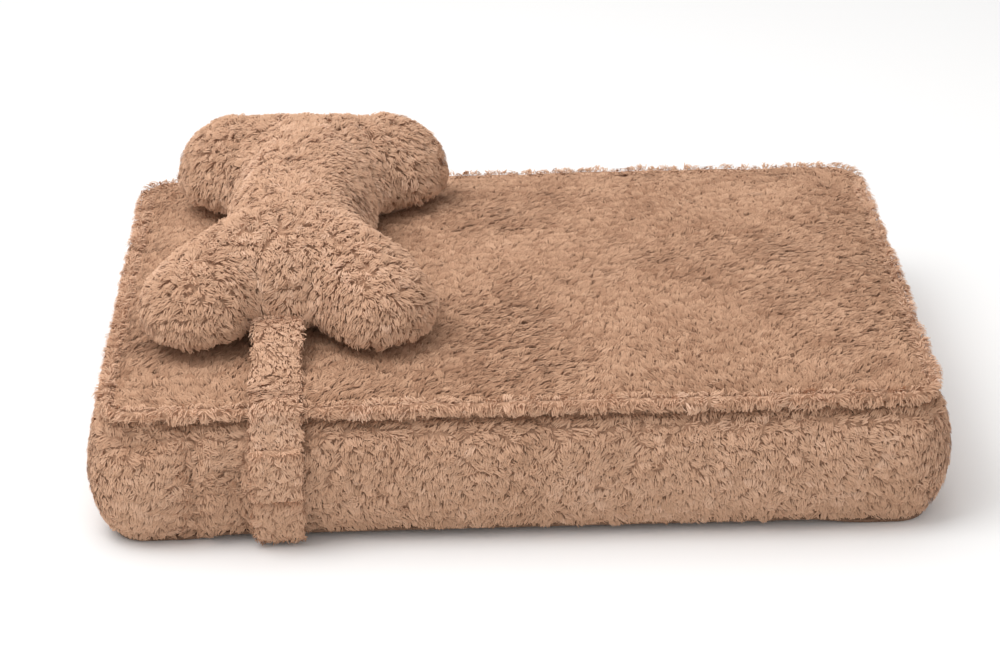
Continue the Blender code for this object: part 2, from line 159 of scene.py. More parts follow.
# %% A number in a shader
class Amount:
    def __init__(self, finish, socket):
        self.finish, self.socket = finish, socket

    def maths(self, operation, *others):
        made = self.finish.node(
            "ShaderNodeMath", {"operation": operation}, {0: self, **dict(enumerate(others, 1))}
        )
        return Amount(self.finish, made.outputs[0])

    def __add__(self, other):
        return self.maths("ADD", other)

    def __sub__(self, other):
        return self.maths("SUBTRACT", other)

    def __mul__(self, other):
        return self.maths("MULTIPLY", other)

    def wave(self, turns):
        """0 to 1 and back, this many times over a metre."""
        return (self * (turns * math.tau)).maths("SINE") * 0.5 + 0.5


# %% A finish and its nodes
class Finish:
    """A material with one Principled shader. Fixed values go straight on its sockets."""

    def __init__(self, name, **fixed):
        self.material = bpy.data.materials.new(name)
        self.material.use_nodes = True
        self.tree = self.material.node_tree
        self.shader = self.tree.nodes["Principled BSDF"]
        for socket, value in fixed.items():
            self.shader.inputs[socket.replace("_", " ")].default_value = value

    def node(self, kind, settings=None, sockets=None):
        made = self.tree.nodes.new(kind)
        for name, value in (settings or {}).items():
            if name == "stops":
                self.set_stops(made.color_ramp, value)
            else:
                setattr(made, name, value)
        for name, value in (sockets or {}).items():
            self.feed(made.inputs[name], value)
        return made

    def set_stops(self, ramp, stops):
        while len(ramp.elements) < len(stops):
            ramp.elements.new(1.0)
        for element, (place, colour) in zip(ramp.elements, stops):
            element.position = place
            element.color = (*colour, 1) if isinstance(colour, tuple) else (colour,) * 3 + (1,)

    def feed(self, socket, value):
        if isinstance(value, Amount):
            value = value.socket
        if isinstance(value, bpy.types.NodeSocket):
            self.tree.links.new(value, socket)
        else:
            socket.default_value = value

    def part(self, vector):
        split = self.node("ShaderNodeSeparateXYZ", sockets={0: vector})
        return [Amount(self, output) for output in split.outputs]

    def place(self):
        return self.node("ShaderNodeTexCoord").outputs["Object"]

    def noise(self, scale, detail=3.0, where=None):
        made = self.node(
            "ShaderNodeTexNoise",
            sockets={"Vector": where or self.place(), "Scale": scale, "Detail": detail},
        )
        return Amount(self, made.outputs[0])

    def ramp(self, amount, stops):
        return self.node("ShaderNodeValToRGB", {"stops": stops}, {0: amount}).outputs["Color"]

    def blend(self, way, first, second, factor=1.0):
        made = self.node("ShaderNodeMix", {"data_type": "RGBA", "blend_type": way})
        for socket, value in ((0, factor), (6, first), (7, second)):
            self.feed(made.inputs[socket], value)
        return made.outputs[2]

    def paint(self, colour=None, roughness=None, height=None, depth=0.001):
        if colour is not None:
            self.feed(self.shader.inputs["Base Color"], colour)
        if roughness is not None:
            self.feed(self.shader.inputs["Roughness"], roughness)
        if height is not None:
            bump = self.node("ShaderNodeBump", sockets={"Distance": depth, "Height": height})
            self.feed(self.shader.inputs["Normal"], bump.outputs[0])
        return self.material


# %% [markdown]
# ## The plush
# Plush is a woven backing with a dense pile of fine fibres. The pile here is real geometry:
# flat ribbons that stand for small tufts. Each ribbon's map holds two numbers, its own shade
# and how far along it a point is, and the colour is looked up from those. Roots are darker
# because little light reaches them, and that draws the creases between tufts.

# %% Pile and ground finishes
PILE_SHADES = [
    (0.0, (0.400, 0.215, 0.128)),
    (0.30, (0.590, 0.350, 0.222)),
    (0.60, (0.700, 0.435, 0.288)),
    (1.0, (0.840, 0.570, 0.410)),
]
SHEEN = dict(
    Sheen_Weight=0.18, Sheen_Roughness=0.45, Sheen_Tint=(1.0, 0.80, 0.66, 1), Specular_IOR_Level=0.2
)


def make_pile_finish(name, stops):
    pile = Finish(name, Roughness=0.85, **SHEEN)
    shade, along, _ = pile.part(pile.node("ShaderNodeUVMap", {"uv_map": "OFBake"}).outputs[0])
    depth = pile.ramp(along, [(0.0, 0.82), (0.45, 0.94), (1.0, 1.0)])
    return pile.paint(pile.blend("MULTIPLY", pile.ramp(shade, stops), depth))


def make_ground_finish(name, dark, light):
    ground = Finish(name, Roughness=0.95, **SHEEN)
    fibres = ground.noise(420, 2.0)
    tufts = ground.noise(70, 3.0)
    mixed = fibres * 0.5 + tufts * 0.5
    colour = ground.ramp(mixed, [(0.30, dark), (0.70, light)])
    return ground.paint(colour, height=mixed, depth=0.003)


plush_pile = make_pile_finish("plush_pile", PILE_SHADES)
# The ground between the tufts is painted about as dark as the pile's roots: painted shade in the
# gaps between tufts.
plush_ground = make_ground_finish("plush_ground", (0.42, 0.240, 0.150), (0.64, 0.390, 0.255))
base_plush = make_ground_finish("base_plush", (0.185, 0.105, 0.066), (0.34, 0.205, 0.135))


# %% [markdown]
# ## Meshes from arrays
# Numpy holds thousands of points at once, so pieces are worked out as arrays and handed to
# Blender in one go. A form is a set of rings, one above the other, closed at both ends.

# %% Turn arrays into pieces
def add_piece(name, mesh, finish, body, stands_for=()):
    mesh.polygons.foreach_set("use_smooth", np.ones(len(mesh.polygons), bool))
    mesh.materials.clear()
    mesh.materials.append(finish)
    made = bpy.data.objects.new(name, mesh)
    bpy.context.scene.collection.objects.link(made)
    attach(made, body)
    if stands_for:
        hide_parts(*stands_for)
    return made


def mesh_of_rings(name, rings, closed_path=False):
    """Rings of points, each joined to the next: capped at both ends, or joined round."""
    rings = np.asarray(rings)
    count, around = rings.shape[:2]
    index = np.arange(count * around).reshape(count, around)
    faces = []
    for k in range(count if closed_path else count - 1):
        below, above = index[k], index[(k + 1) % count]
        faces += np.stack(
            (below, np.roll(below, -1), np.roll(above, -1), above), axis=1
        ).tolist()
    if not closed_path:
        faces += [index[0][::-1].tolist(), index[-1].tolist()]
    mesh = bpy.data.meshes.new(name)
    mesh.from_pydata(rings.reshape(-1, 3).tolist(), [], faces)
    form = bmesh.new()
    form.from_mesh(mesh)
    bmesh.ops.recalc_face_normals(form, faces=form.faces[:])
    form.to_mesh(mesh)
    form.free()
    return mesh


def points_of(mesh):
    found = np.empty(len(mesh.vertices) * 3, np.float32)
    mesh.vertices.foreach_get("co", found)
    return found.reshape(-1, 3).astype(float)


def normals_of(mesh):
    found = np.empty(len(mesh.vertices) * 3, np.float32)
    mesh.vertex_normals.foreach_get("vector", found)
    return found.reshape(-1, 3).astype(float)


def move_points(mesh, points):
    mesh.vertices.foreach_set("co", points.astype(np.float32).ravel())
    mesh.update()


def through_modifier(mesh, kind, **settings):
    """The mesh after one modifier."""
    helper = bpy.data.objects.new("helper", mesh)
    bpy.context.scene.collection.objects.link(helper)
    change = helper.modifiers.new(kind, kind)
    for name, value in settings.items():
        setattr(change, name, value)
    graph = bpy.context.evaluated_depsgraph_get()
    made = bpy.data.meshes.new_from_object(helper.evaluated_get(graph))
    bpy.data.objects.remove(helper)
    return made


# %% [markdown]
# ## Stuffing a cover
# A stuffed cover is tight where it is sewn and swells between. Blender's Cloth does this: the
# mesh is re-made in even quads, blown up by pressure with gravity off, and each point may move
# only so far, so the pad stays in its own space. The shape it starts from is a little smaller.

# %% Inflate a mesh
def stuffed(mesh, voxel, cap, held, frames=20):
    """held(points) gives 1 where a seam holds the cover and 0 where it is free."""
    mesh = through_modifier(mesh, "REMESH", mode="VOXEL", voxel_size=voxel)
    start = points_of(mesh)
    pad = bpy.data.objects.new("pad", mesh)
    bpy.context.scene.collection.objects.link(pad)
    pins = pad.vertex_groups.new(name="pins")
    grip = held(start)
    for vertex in np.nonzero(grip > 0.5)[0].tolist():
        pins.add([vertex], 1.0, "REPLACE")
    cloth = pad.modifiers.new("Cloth", "CLOTH")
    cloth.settings.quality = 5
    cloth.settings.mass = 0.3
    cloth.settings.use_pressure = True
    cloth.settings.uniform_pressure_force = 4
    cloth.settings.shrink_min = -0.02
    cloth.settings.vertex_group_mass = "pins"
    cloth.settings.effector_weights.gravity = 0
    cloth.point_cache.frame_start, cloth.point_cache.frame_end = 1, frames
    for step in range(1, frames + 1):
        bpy.context.scene.frame_set(step)
    graph = bpy.context.evaluated_depsgraph_get()
    blown = points_of(bpy.data.meshes.new_from_object(pad.evaluated_get(graph)))
    bpy.data.objects.remove(pad)
    bpy.context.scene.frame_set(1)
    moved = blown - start
    far = np.linalg.norm(moved, axis=1, keepdims=True)
    moved *= cap * np.tanh(far / cap) / np.maximum(far, 1e-9)
    print("cover moved", round(float(far.max()), 4), "kept under", cap)
    move_points(mesh, start + moved)
    return through_modifier(mesh, "SUBSURF", levels=1, render_levels=1)


# %% [markdown]
# ## The cushion's shape
# Seen from above the cushion is a rectangle with round corners. Its walls bow out between the
# bottom edge and the top seam, and its top is crowned. The cover lies under the pile, so it
# stands in from the solid by the depth that the pile fills.

# %% Cushion cover
UNDER_PILE = 0.007
CORNER_STEPS = 8


def side_inset(z):
    return BULGE * np.abs(2 * np.clip(z, 0, SEAM_Z) / SEAM_Z - 1) ** 2.4


def crown_height(x, y):
    along = np.maximum(0, 1 - np.abs(y / (half_wide - BULGE)) ** CROWN_POWER)
    return CROWN * along * np.maximum(0, 1 - np.abs(x / (half_long - BULGE)) ** 8)


def base_lift(x):
    return LIFT * eased((foot_x - np.abs(x)) / FOOT_EASE)


def plan_outline(spacing=0.012):
    """Points of the inner rectangle, and the way out from each, once round from the front."""
    bases, ways = [], []
    for out_x, out_y in ((0, -1), (1, 0), (0, 1), (-1, 0)):
        half = core_x if out_x == 0 else core_y
        for mark in np.linspace(-half, half, int(2 * half / spacing) + 1):
            bases.append(
                (out_x * core_x - out_y * mark, out_y * core_y + out_x * mark)
            )
            ways.append((out_x, out_y))
        for k in range(1, CORNER_STEPS):
            turn = math.pi / 2 * k / CORNER_STEPS
            c, s = math.cos(turn), math.sin(turn)
            bases.append(bases[-1])
            ways.append((out_x * c - out_y * s, out_y * c + out_x * s))
    return np.array(bases), np.array(ways)


PLAN, WAY_OUT = plan_outline()


def ring_at(scale, radius, height):
    flat = (PLAN + WAY_OUT * radius) * scale
    z = height(flat[:, 0], flat[:, 1]) if callable(height) else np.full(len(flat), height)
    return np.column_stack((flat, z))


def edge_rise(x, y):
    """The top turns up a little where it meets the roll along its seam."""
    over = np.maximum(np.abs(x) - core_x, 0), np.maximum(np.abs(y) - core_y, 0)
    straight = np.maximum(np.abs(x) - core_x, np.abs(y) - core_y)
    reach = np.where(np.hypot(*over) > 0, np.hypot(*over), straight)
    return 0.006 * eased(1 + (reach - (CORNER - BULGE)) / 0.030)


def make_cushion_cover():
    edge = CORNER - BULGE
    inward = [0.02, 0.15, 0.3, 0.45, 0.6, 0.75, 0.85, 0.93, 1.0]
    rings = [
        ring_at(s, edge - UNDER_PILE, lambda x, y: base_lift(x) + 0.003) for s in inward
    ]
    for z in np.linspace(0.010, SEAM_Z - 0.004, 14):
        rings.append(ring_at(1.0, CORNER - side_inset(z) - UNDER_PILE, float(z)))
    for s in inward[::-1]:
        rings.append(
            ring_at(
                s,
                edge - UNDER_PILE,
                lambda x, y: SEAM_Z - 0.004 + np.maximum(crown_height(x, y), edge_rise(x, y)),
            )
        )
    return mesh_of_rings("cushion_cover", rings)


def seam_grip(points):
    """1 along the top seam and the bottom edge."""
    x, y, z = points.T
    over = np.maximum(np.abs(x) - core_x, 0), np.maximum(np.abs(y) - core_y, 0)
    reach = np.hypot(*over) - (CORNER - BULGE - UNDER_PILE)
    near_edge = np.abs(reach) < 0.010
    return np.where(near_edge & ((np.abs(z - SEAM_Z) < 0.014) | (z < 0.012)), 1.0, 0.0)


cushion_mesh = stuffed(make_cushion_cover(), 0.009, 0.005, seam_grip)
print("cushion cover faces:", len(cushion_mesh.polygons))

# %% [markdown]
# ## Creases and the zip's slot
# Seams pull a cover in. Each is a line in space: every point of the cover near it is
# pressed inward, deepest on the line. The same lines later comb the pile away, as on real plush,
# and shorten it and darken it with painted shade. The zip in the right end lies in a slot
# pressed the same way.

# %% Lines that press the cover in
left_seam_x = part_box("front_boxing")[0].x
tape_low, tape_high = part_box("zip_tape_upper")
ZIP_Z = (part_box("zip_tape_lower")[1].z + tape_low.z) / 2
zip_reach = tape_high.y + 0.004
FOLD_X = left_seam_x + 0.048


def wall_line(x, side, low, high):
    """A line up the front (-1) or rear (1) wall."""
    return [
        (x, side * (half_wide - side_inset(z)), z) for z in np.linspace(low, high, 8)
    ]


def front_line(start, end, height, count):
    """A level line along the front wall."""
    y = -(half_wide - side_inset(height))
    return [(x, y, height) for x in np.linspace(start, end, count)]


FOLD_Z = 0.066  # the fold beside the left seam
DENT_Z = 0.124  # the dent near the front left corner
CREASES = [  # a line, how deep it presses, how wide
    (wall_line(left_seam_x, -1, 0.012, SEAM_Z - 0.008), 0.0125, 0.0070),
    (wall_line(left_seam_x, 1, 0.012, SEAM_Z - 0.008), 0.0090, 0.0065),
    (wall_line(FOLD_X, -1, 0.020, 0.088), 0.0110, 0.0070),
    (front_line(left_seam_x, FOLD_X, FOLD_Z, 4), 0.0090, 0.0065),
    (front_line(0.045 - half_long, 0.072 - half_long, DENT_Z, 3), 0.0140, 0.0090),
]


def nearest_on(line, points):
    """How far each point is from a line of points, and the way from the line to it."""
    best = np.full(len(points), 1e9)
    apart = np.zeros_like(points)
    line = np.array(line)
    for a, b in zip(line[:-1], line[1:]):
        run = b - a
        t = np.clip((points - a) @ run / (run @ run), 0, 1)[:, None]
        away = points - (a + t * run)
        far = np.linalg.norm(away, axis=1)
        closer = far < best
        best[closer], apart[closer] = far[closer], away[closer]
    return best, apart


def pressed(points):
    """How far each point is pressed in, and how strongly a crease combs the pile from it."""
    depth = np.zeros(len(points))
    comb = np.zeros_like(points)
    for line, deep, wide in CREASES:
        far, apart = nearest_on(line, points)
        depth = np.maximum(depth, deep * np.exp(-((far / wide) ** 2)))
        comb += unit(apart) * np.exp(-((far / (wide * 2.2)) ** 2))[:, None]
    return depth, comb


def slot_depth(points):
    """1 in the zip's slot, falling to 0 at its lips."""
    x, y, z = points.T
    high = eased((0.0125 - np.abs(z - ZIP_Z)) / 0.006)
    long = eased((zip_reach + 0.006 - np.abs(y)) / 0.008)
    return high * long * (x > half_long - 0.045)


def under_lip(points):
    """1 just below the top seam, where the boxing tucks in under the roll."""
    x, y, z = points.T
    over = np.maximum(np.abs(x) - core_x, 0), np.maximum(np.abs(y) - core_y, 0)
    outside = np.hypot(*over) > CORNER - BULGE - 0.012
    return np.exp(-(((z - (SEAM_Z - 0.0135)) / 0.0065) ** 2)) * outside


def shape_cushion(mesh):
    points, normals = points_of(mesh), normals_of(mesh)
    wander = noise(points, 0.130, 11) * 0.0022 + noise(points, 0.060, 12) * 0.0012 - 0.0012
    depth = pressed(points)[0] + under_lip(points) * 0.0055
    points += normals * (wander - depth)[:, None]
    points[:, 0] -= slot_depth(points) * 0.0095
    floor = base_lift(points[:, 0]) + 0.003
    points[:, 2] = np.maximum(points[:, 2], floor)
    move_points(mesh, points)


shape_cushion(cushion_mesh)
cushion_cover = add_piece(
    "cushion_cover",
    cushion_mesh,
    plush_ground,
    "cushion",
    (
        "top_panel front_boxing left_boxing rear_boxing right_boxing_upper "
        "right_boxing_lower liner_top liner_base fibre_fill"
    ).split(),
)

# %% [markdown]
# ## Underside
# The base is a plainer cloth with a short pile. It is one thin panel whose edge tucks in under
# the boxing, drawn up in the middle where the strap's elastic passes under it.

# %% Base panel
def make_base_panel():
    inward = np.concatenate((np.linspace(0.02, 0.96, 24), [1.0]))
    edge = CORNER - BULGE - 0.004
    under = [ring_at(s, edge, lambda x, y: base_lift(x) + 0.0005) for s in inward]
    over = [ring_at(s, edge, lambda x, y: base_lift(x) + 0.0045) for s in inward[::-1]]
    return mesh_of_rings("base_cloth", under + over)


add_piece("base_cloth", make_base_panel(), base_plush, "cushion", ["base_panel"])

# %% [markdown]
# ## The roll along the top seam
# Where the top is sewn to the walls, the seam allowance and its pile make a soft roll that
# hangs over the wall. It is swept as a tube round the cushion, with an uneven thickness.

# %% Seam roll
def make_roll():
    bases, ways = plan_outline(0.006)
    turns = np.linspace(0, math.tau, 12, endpoint=False)
    rings = []
    for base, way in zip(bases, ways):
        spine = np.array((*(base + way * (CORNER - BULGE)), SEAM_Z))
        uneven = noise(spine[None], 0.030, 21)[0]
        droop = 0.0015 + 0.0020 * noise(spine[None], 0.110, 22)[0]
        radius = ROLL - 0.0030 + 0.0012 * uneven
        out = np.array((*way, 0.0))
        centre = spine - out * 0.001 - np.array((0, 0, droop))
        rings.append(
            [
                centre + radius * (math.cos(t) * out * 1.05 + math.sin(t) * np.array((0, 0, 1.0)))
                for t in turns
            ]
        )
    return mesh_of_rings("seam_roll", rings, closed_path=True)


seam_roll = add_piece(
    "seam_roll", make_roll(), plush_ground, "cushion", ["top_seam_ridge"]
)

# %% [markdown]
# ## The bone pillow
# The pillow is two bone-shaped panels sewn edge to edge and stuffed hard: four round knobs, a
# narrow waist, and a notch in each end where the strap is sewn. Its plan is a smooth curve
# through a few points, and the panels rise from that outline in domes.

# %% Plan of the bone
bone_low, bone_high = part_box("bone_upper_panel")
BONE_Y = (bone_low.y + bone_high.y) / 2
bone_end = (bone_high.y - bone_low.y) / 2
bone_side = (bone_high.x - bone_low.x) / 2
BONE_DROP, WAIST, NOTCH, SLIP = 0.035, 0.174, 0.042, 0.0015
BONE_RISE = bone_high.z - (SEAM_Z + SLIP + BONE_DROP + CROWN * 0.88)


def bone_outline(steps=6):
    end, side = bone_end, bone_side
    notch = end - NOTCH
    quarter = [
        (0.0, notch),
        (STRAP_WIDTH * 0.30, notch),
        (STRAP_WIDTH * 0.56, notch),
        (side * 0.32, end - 0.018),
        (side * 0.57, end),
        (side * 0.86, end - 0.018),
        (side, end - 0.062),
        (side * 0.92, end - 0.102),
        ((side + WAIST) / 2 * 0.78, end - 0.130),
        (WAIST / 2 * 1.03, end - 0.168),
        (WAIST / 2, 0.0),
    ]
    half = quarter + [(x, -y) for x, y in reversed(quarter[:-1])]
    ring = np.array(half + [(-x, y) for x, y in reversed(half[1:-1])])
    found = []
    for k in range(len(ring)):
        a, b, c, d = (ring[(k + shift) % len(ring)] for shift in (-1, 0, 1, 2))
        for t in np.arange(steps) / steps:
            bend = (2 * a - 5 * b + 4 * c - d) * t + (3 * b - a - 3 * c + d) * t * t
            found.append(b + 0.5 * t * ((c - a) + bend))
    return np.array(found)


BONE = bone_outline()
along_bone = np.roll(BONE, -1, axis=0) - np.roll(BONE, 1, axis=0)
BONE_OUT = unit(np.column_stack((-along_bone[:, 1], along_bone[:, 0])))
bone_spine = bone_end - 0.165
print("bone plan points:", len(BONE))


def bone_seam_z(y):
    return (
        SEAM_Z
        + CROWN * np.maximum(0, 1 - np.abs(y / (half_wide - BULGE)) ** CROWN_POWER)
        + SLIP
        + BONE_DROP
    )


# %% Bone cover
BONE_UNDER_PILE = 0.006
BONE_ROWS = 14
DOME_UP, DOME_DOWN = 0.072, 0.040  # how far in from the edge each panel is full height
BONE_SHIFT = 0.005  # to the right of the strap
SKEW, MOST_SKEW = 0.052, 0.0125
KNOB_FALL = (0.28, 0.12)  # at the front and at the rear
BONE_TILT = math.radians(2.2)  # it lies a little askew


def lean_of(y):
    """How far to the side the pillow and its strap stand at y, because of the tilt."""
    return np.clip((y - BONE_Y) * SKEW, -MOST_SKEW, MOST_SKEW)


def dome(depth, full):
    """Height of a stuffed panel, of 1, this far in from its edge."""
    return np.sqrt(1 - (1 - np.clip(depth / full, 0, 1)) ** 2)


def bone_ring(way, row):
    spine = np.column_stack((np.zeros(len(BONE)), np.clip(BONE[:, 1], -bone_spine, bone_spine)))
    inner = BONE - BONE_OUT * BONE_UNDER_PILE
    flat = spine + (inner - spine) * max(math.cos(math.pi / 2 * row / BONE_ROWS), 0.02)
    edge_line = [(x, y, 0.0) for x, y in np.vstack((inner, inner[:1]))]
    depth, _ = nearest_on(edge_line, np.column_stack((flat, np.zeros(len(flat)))))
    tall = (BONE_RISE if way > 0 else BONE_DROP) - BONE_UNDER_PILE
    if way > 0:  # the knobs are rounder and lower than the middle
        rear = eased(flat[:, 1] / 0.20 * 0.5 + 0.5)
        fall = KNOB_FALL[0] + (KNOB_FALL[1] - KNOB_FALL[0]) * rear
        tall = tall * (1 - fall * eased((np.abs(flat[:, 0]) - 0.040) / 0.080))
    high = tall * dome(depth, DOME_UP if way > 0 else DOME_DOWN) if row else np.zeros(len(flat))
    c, t = math.cos(BONE_TILT), math.sin(BONE_TILT)
    x = flat[:, 0] * c + flat[:, 1] * t + STRAP_X + BONE_SHIFT
    y = flat[:, 1] * c - flat[:, 0] * t + BONE_Y
    return np.column_stack((x, y, bone_seam_z(y) + way * high))


def make_bone_cover():
    rings = [bone_ring(-1, row) for row in range(BONE_ROWS, 0, -1)]
    rings += [bone_ring(1, row) for row in range(BONE_ROWS + 1)]
    return mesh_of_rings("bone_cover", rings)


def bone_grip(points):
    """1 along the seam that joins the two panels."""
    off_seam = np.abs(points[:, 2] - bone_seam_z(points[:, 1]))
    return np.where(off_seam < 0.003, 1.0, 0.0)


def shape_bone(mesh):
    points, normals = points_of(mesh), normals_of(mesh)
    wander = noise(points, 0.075, 31) * 0.0022 + noise(points, 0.035, 32) * 0.0012
    points += normals * wander[:, None]
    ground = SEAM_Z + crown_height(points[:, 0], points[:, 1]) + SLIP
    points[:, 2] = np.maximum(points[:, 2], ground + 0.001)
    move_points(mesh, points)


bone_mesh = stuffed(make_bone_cover(), 0.0065, 0.007, bone_grip)
shape_bone(bone_mesh)
bone_cover = add_piece(
    "bone_cover",
    bone_mesh,
    plush_ground,
    "bone_and_strap",
    ["bone_upper_panel", "bone_lower_panel", "bone_fill"],
)
print("bone cover faces:", len(bone_mesh.polygons))

# %% [markdown]
# ## The strap
# The strap is a flat plush band. It leaves each notch of the bone, lies on the cushion, turns
# over the top seam and runs down the wall. A flat elastic carries it under the cushion. In
# front the two ends overlap and a tab holds them with hook-and-loop tape. Flat bands keep
# their shape, so they are swept along their paths and not simulated.

# %% Sweep a flat band
STRAP, ELASTIC, GAP, PATCH = 0.004, 0.002, 0.0004, 0.0012
tab_low, tab_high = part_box("strap_tab")
HINGE_Z, TAB_TOP = tab_low.z, tab_high.z
FRONT_END = strap_low.z
LAP_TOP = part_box("strap_elastic")[1].z
notch_y = bone_end - NOTCH


def path_over_top(notch, way):
    """The band's inner face from the bone's notch to above the top seam."""
    edge, start = half_wide - BULGE, abs(notch)
    level = start + STRAP
    drop = min(0.080, (edge - level) * 0.8)
    found = [(way * start, float(bone_seam_z(np.array(level))) - STRAP / 2)]
    for k in range(14):
        y = level + (edge - level) * k / 14
        swell = CROWN * max(0.0, 1 - abs(y / edge) ** CROWN_POWER)
        ground = max(swell, ROLL * float(eased((y - edge + 0.034) / 0.028)))
        high = (BONE_DROP - STRAP / 2) * (1 - float(eased((y - level) / drop)))
        found.append((way * y, SEAM_Z + ground + SLIP + high))
    for turn in (90, 72, 54, 36, 18, 0):
        angle = math.radians(turn)
        y = edge + (ROLL + SLIP) * math.cos(angle)
        found.append((way * y, SEAM_Z + (ROLL + SLIP) * math.sin(angle)))
    return found


def path_down(way, high, low, count=10):
    return [
        (way * (half_wide - float(side_inset(z)) + SLIP), float(z))
        for z in np.linspace(high, low, count)
    ]


def path_under(way):
    edge, under = half_wide - BULGE, LIFT - 0.0012
    return [(way * (edge + 0.0042), under + 0.0027), (way * (edge - 0.003), under)]


def smooth_path(path, spacing=0.004, rounds=2):
    """The path with its corners rounded, as evenly spaced points."""
    line = np.array(path)
    for _ in range(rounds):
        a, b = line[:-1], line[1:]
        cut = np.stack((a * 0.75 + b * 0.25, a * 0.25 + b * 0.75), axis=1).reshape(-1, 2)
        line = np.vstack((line[:1], cut, line[-1:]))
    run = np.concatenate(([0], np.cumsum(np.linalg.norm(np.diff(line, axis=0), axis=1))))
    marks = np.linspace(0, run[-1], max(4, int(run[-1] / spacing)))
    return np.column_stack([np.interp(marks, run, line[:, k]) for k in range(2)])


def band_mesh(name, path, inner, thick, width, step=None, uneven=0.0):
    """A band with soft edges on the outer side of a path in the YZ plane."""
    line = smooth_path(path)
    along = np.gradient(line, axis=0)
    out = unit(np.column_stack((-along[:, 1], along[:, 0])))
    turns = np.linspace(0, math.tau, 20, endpoint=False)
    flat = np.sign(np.cos(turns)) * np.abs(np.cos(turns)) ** 0.35
    tall = np.sign(np.sin(turns)) * np.abs(np.sin(turns)) ** 0.8
    rings = []
    for k, (point, way) in enumerate(zip(line, out)):
        depth = inner + thick / 2 + (step(point[1]) if step else 0.0)
        end = min(k, len(line) - 1 - k)
        slim = (0.25, 0.8, 1.0)[min(end, 2)]
        spot = np.array([[STRAP_X, *point]])
        edge = 1 + uneven * noise(spot, 0.035, 41)[0]
        lean = float(lean_of(point[0]))
        yz = point + way * (depth + tall[:, None] * thick / 2 * slim)
        x = STRAP_X + lean + flat * width / 2 * edge
        rings.append(np.column_stack((x, yz)))
    return mesh_of_rings(name, rings)


# %% Bands of the strap
LOWER_DEPTH = ELASTIC + GAP
TAB_DEPTH = STRAP + 2 * PATCH + 3 * GAP
BAND_WIDTH = STRAP_WIDTH - 0.005

elastic_finish = Finish("ribbed_elastic", Roughness=0.8)
rib_x, rib_y, rib_z = elastic_finish.part(elastic_finish.place())
rib = rib_x.wave(500) * 0.7 + (rib_y + rib_z).wave(900) * 0.3
elastic_finish.paint(
    elastic_finish.ramp(rib, [(0.1, (0.10, 0.062, 0.042)), (0.9, (0.25, 0.16, 0.11))]),
    height=rib,
    depth=0.0006,
)
hook_finish = Finish("hook_and_loop", Roughness=0.9)
nap = hook_finish.noise(1400, 1.0)
hook_finish.paint(
    hook_finish.ramp(nap, [(0.35, (0.085, 0.052, 0.036)), (0.7, (0.23, 0.15, 0.105))]),
    height=nap,
    depth=0.0010,
)

front_path = (path_over_top(BONE_Y - notch_y - GAP, -1) + path_down(-1, SEAM_Z * 0.88, FRONT_END))[
    ::-1
]
rear_path = path_over_top(BONE_Y + notch_y + GAP, 1) + path_down(
    1, SEAM_Z * 0.88, LAP_TOP + GAP, 14
)
loop_path = (path_down(1, LAP_TOP, 0.010, 4) + path_under(1)) + (
    path_down(-1, LAP_TOP, 0.010, 4) + path_under(-1)
)[::-1]
lower_path = path_down(-1, HINGE_Z, 0.010, 8)[::-1]


def tab_step(z):
    """How far the tab stands out over the tape, from its stitches up."""
    return (TAB_DEPTH - LOWER_DEPTH) * float(eased((z - HINGE_Z) / (FRONT_END - HINGE_Z - GAP)))


tab_path = path_down(-1, TAB_TOP, HINGE_Z + GAP, 12)[::-1]
held_path = path_down(-1, TAB_TOP - 0.004, FRONT_END + 0.004, 8)[::-1]
strap_front = add_piece(
    "strap_front_band",
    band_mesh("strap_front_band", front_path, 0.0, STRAP, BAND_WIDTH, uneven=0.04),
    plush_ground,
    "bone_and_strap",
    ["strap_front"],
)
strap_rear = add_piece(
    "strap_rear_band",
    band_mesh("strap_rear_band", rear_path, 0.0, STRAP, BAND_WIDTH, uneven=0.04),
    plush_ground,
    "bone_and_strap",
    ["strap_rear"],
)
strap_lower = add_piece(
    "strap_lower_band",
    band_mesh("strap_lower_band", lower_path, LOWER_DEPTH, STRAP, BAND_WIDTH),
    plush_ground,
    "bone_and_strap",
    ["strap_lower"],
)
strap_tab = add_piece(
    "strap_tab_band",
    band_mesh("strap_tab_band", tab_path, LOWER_DEPTH, STRAP, BAND_WIDTH, step=tab_step),
    plush_ground,
    "tab",
    ["strap_tab"],
)
add_piece(
    "elastic_band",
    band_mesh("elastic_band", loop_path, 0.0, ELASTIC, STRAP_WIDTH - 0.008),
    elastic_finish.material,
    "bone_and_strap",
    ["strap_elastic"],
)
add_piece(
    "loop_tape",
    band_mesh("loop_tape", held_path, STRAP + GAP, PATCH, 0.040),
    hook_finish.material,
    "bone_and_strap",
    ["loop_patch"],
)
add_piece(
    "hook_tape",
    band_mesh("hook_tape", held_path, STRAP + PATCH + 2 * GAP, PATCH, 0.040),
    hook_finish.material,
    "tab",
    ["hook_patch"],
)

# %% [markdown]
# ## Growing the pile
# Fibres of plush cling together in tufts. Roots are scattered evenly over a cover; a few of
# them are tuft centres, and every other fibre bends its tip towards the nearest one. The pile
# of each tuft leans its own way, which gives patches of light and dark as on brushed velvet.
# Tufts are longer across than deep, so their gaps run as short dark creases.

